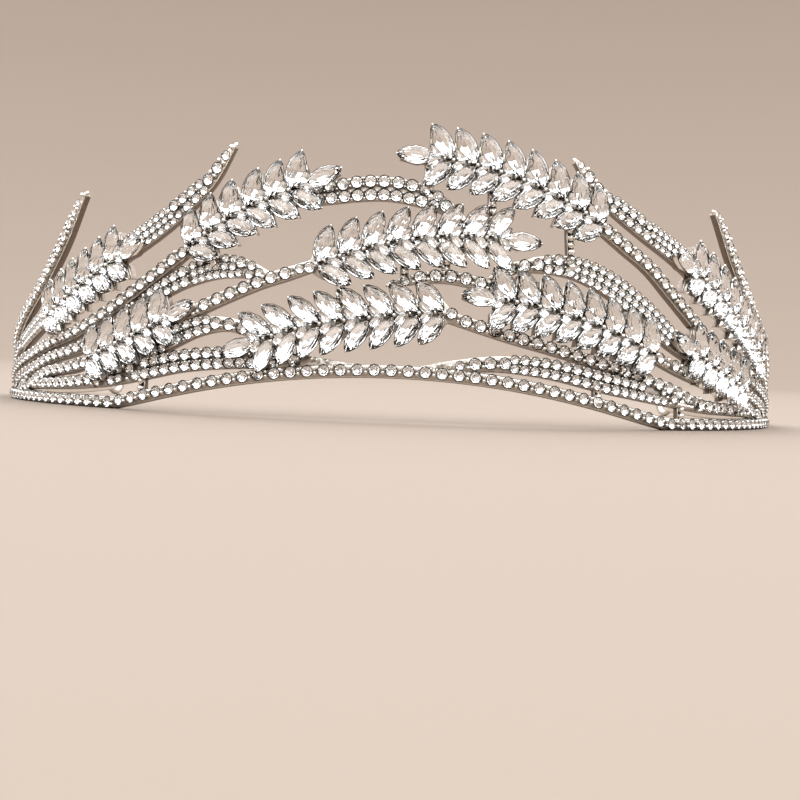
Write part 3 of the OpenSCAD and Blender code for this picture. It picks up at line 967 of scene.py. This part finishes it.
def setStems():
    # small leaf stones in a V and grains of metal fill each ear's stem between the roots of its leaves
    stones, grains = bmesh.new(), bmesh.new()
    long, wide = rootStone["length"] / leaf["length"], rootStone["width"] / leaf["width"]
    small = Matrix.Diagonal((long, wide, rootStone["depth"], 1))
    high = stemGrain["height"] * leaf["seat"]
    for pairs, sink, rows in ears.values():
        line, far = drawn(rows, earSteps)
        for i in range(pairs):
            inner = pairRoot(far, i)
            for past, radius in stemGrain["rows"]:
                p, way = walk(line, far, inner + past)
                size = Matrix.Diagonal((radius, radius, high, 1))
                stamp(grains, roundGrain, onFace(*p, high - sink, way) @ size)
            p, way = walk(line, far, inner + rootStone["along"])
            for side in (-1, 1):
                q = aside(p, way, side * rootStone["across"])
                stamp(stones, navette, onFace(*q, rootStone["out"], way + side * rootStone["turn"]) @ small)
    finishPiece(stones, "stem_stones", stoneMaterials)
    finishPiece(grains, "stem_beads", [metal])


knot = {
    "pitch": 1.35,  # of the beads up a post
    "radius": 0.66,
    "endRadius": 0.75,
    "out": -0.1,  # their middles, over the face
    "drop": (2.2, 1.05),  # length and width of a drop, in widths of the vine's tip
    "dropHeight": 0.55,  # half of it
    "dropOut": -0.5,
}


def setKnots():
    # beads up each post, the largest at its ends, and a drop on each vine's tip
    bm = bmesh.new()
    for start, end in posts["ends"]:
        count = max(2, round(math.hypot(*moveTo(start, end)) / knot["pitch"]))
        for i in range(count + 1):
            p = [a + (b - a) * i / count for a, b in zip(start, end)]
            radius = knot["endRadius"] if i in (0, count) else knot["radius"]
            stamp(bm, roundGrain, onFace(*p, knot["out"]) @ Matrix.Diagonal((radius, radius, radius, 1)))
    for sink, rows in vines.values():
        line, far = drawn(rows, vineSteps)
        p, way = walk(line, far, far[-1])
        long, wide = [share * p[2] for share in knot["drop"]]
        size = Matrix.Diagonal((long / 2, wide / 2, knot["dropHeight"], 1))
        stamp(bm, roundGrain, onFace(p[0], p[1], knot["dropOut"] - sink, way) @ size)
    finishPiece(bm, "knot_beads", [metal])


setLeafCups()
setStems()
setKnots()
print("made the leaf settings")

# The studio

studio = {
    "sides": 64,
    "flat": 0.75,  # radius of the flat floor, in metres
    "bend": 0.35,  # radius of the bend up to the wall
    "bendSteps": 8,
    "wall": 0.4,  # height
    "paper": "#897D73",
    "sky": (2.0, 3.2),  # strength of the white cloth all round, from the front to the back
    "lights": [
        # place, width, height, watts, colour
        ((-0.65, -0.85, 0.95), 0.8, 0.7, 4, "#FFFFFF"),
        ((0.75, -0.75, 0.85), 0.6, 0.6, 2.5, "#FFF8F0"),
        ((0.0, 0.55, 1.3), 1.0, 0.5, 9, "#FFFFFF"),
    ],
}
camera = {
    "place": (0, -0.4106, 0.012),
    "lens": 91.2,
    "down": 1.31,  # degrees
    "turn": -0.28,
    "roll": 2.3,
}


def makeStudio():
    # a round sweep of paper: the floor curves up into the wall all the way round
    bm = bmesh.new()
    points = [(0, 0), (studio["flat"], 0)]
    for k in range(1, studio["bendSteps"] + 1):
        a = math.radians(90 * k / studio["bendSteps"])
        points.append((studio["flat"] + studio["bend"] * math.sin(a), studio["bend"] * (1 - math.cos(a))))
    points.append((studio["flat"] + studio["bend"], studio["wall"]))
    corners = [bm.verts.new((x, 0, z)) for x, z in points]
    for a, b in zip(corners, corners[1:]):
        bm.edges.new((a, b))
    bmesh.ops.spin(bm, geom=bm.verts[:] + bm.edges[:], cent=(0, 0, 0), axis=(0, 0, 1), angle=math.tau,
                   steps=studio["sides"], use_merge=True)
    bmesh.ops.remove_doubles(bm, verts=bm.verts, dist=1e-6)
    bmesh.ops.recalc_face_normals(bm, faces=bm.faces)
    for f in bm.faces:
        f.smooth = True
    mesh = bpy.data.meshes.new("paperSweep")
    bm.to_mesh(mesh)
    bm.free()
    material, tree = newMaterial("seamlessPaper")
    paper = addNode(tree, "ShaderNodeBsdfPrincipled", values={"Base Color": linear(studio["paper"]),
                    "Roughness": 0.9, "Specular IOR Level": 0.2})
    close(tree, paper)
    mesh.materials.append(material)
    sweep = bpy.data.objects.new("paperSweep", mesh)
    bpy.context.scene.collection.objects.link(sweep)


def makeLights():
    for i, (place, width, height, watts, colour) in enumerate(studio["lights"]):
        light = bpy.data.lights.new(f"softbox{i}", "AREA")
        light.shape = "RECTANGLE"
        light.size, light.size_y, light.energy = width, height, watts
        light.color = linear(colour)[:3]
        lamp = bpy.data.objects.new(light.name, light)
        lamp.location = place
        lamp.rotation_euler = Vector(place).to_track_quat("Z", "Y").to_euler()
        bpy.context.scene.collection.objects.link(lamp)
    world = bpy.data.worlds.new("studioAir")
    world.use_nodes = True
    tree = world.node_tree
    where = addNode(tree, "ShaderNodeTexCoord")
    way = addNode(tree, "ShaderNodeSeparateXYZ", links={"Vector": where.outputs["Generated"]})
    strength = addNode(tree, "ShaderNodeMapRange", values={"From Min": -1.0, "To Min": studio["sky"][0],
                       "To Max": studio["sky"][1]}, links={"Value": way.outputs["Y"]})
    sky = tree.nodes["Background"]
    sky.inputs["Color"].default_value = linear("#FFFFFF")
    tree.links.new(strength.outputs[0], sky.inputs["Strength"])
    bpy.context.scene.world = world


def makeCamera():
    lens = bpy.data.cameras.new("camera")
    lens.lens = camera["lens"]
    lens.sensor_width = 36
    lens.clip_start, lens.clip_end = 0.005, 20
    eye = bpy.data.objects.new("camera", lens)
    turn = Matrix.Rotation(math.radians(camera["turn"]), 4, "Z")
    down = Matrix.Rotation(math.radians(90 - camera["down"]), 4, "X")
    roll = Matrix.Rotation(math.radians(camera["roll"]), 4, "Z")
    eye.matrix_world = Matrix.Translation(camera["place"]) @ turn @ down @ roll
    bpy.context.scene.collection.objects.link(eye)
    bpy.context.scene.camera = eye


makeStudio()
makeLights()
makeCamera()
bpy.context.scene.view_settings.view_transform = "Standard"
print("lit the studio")
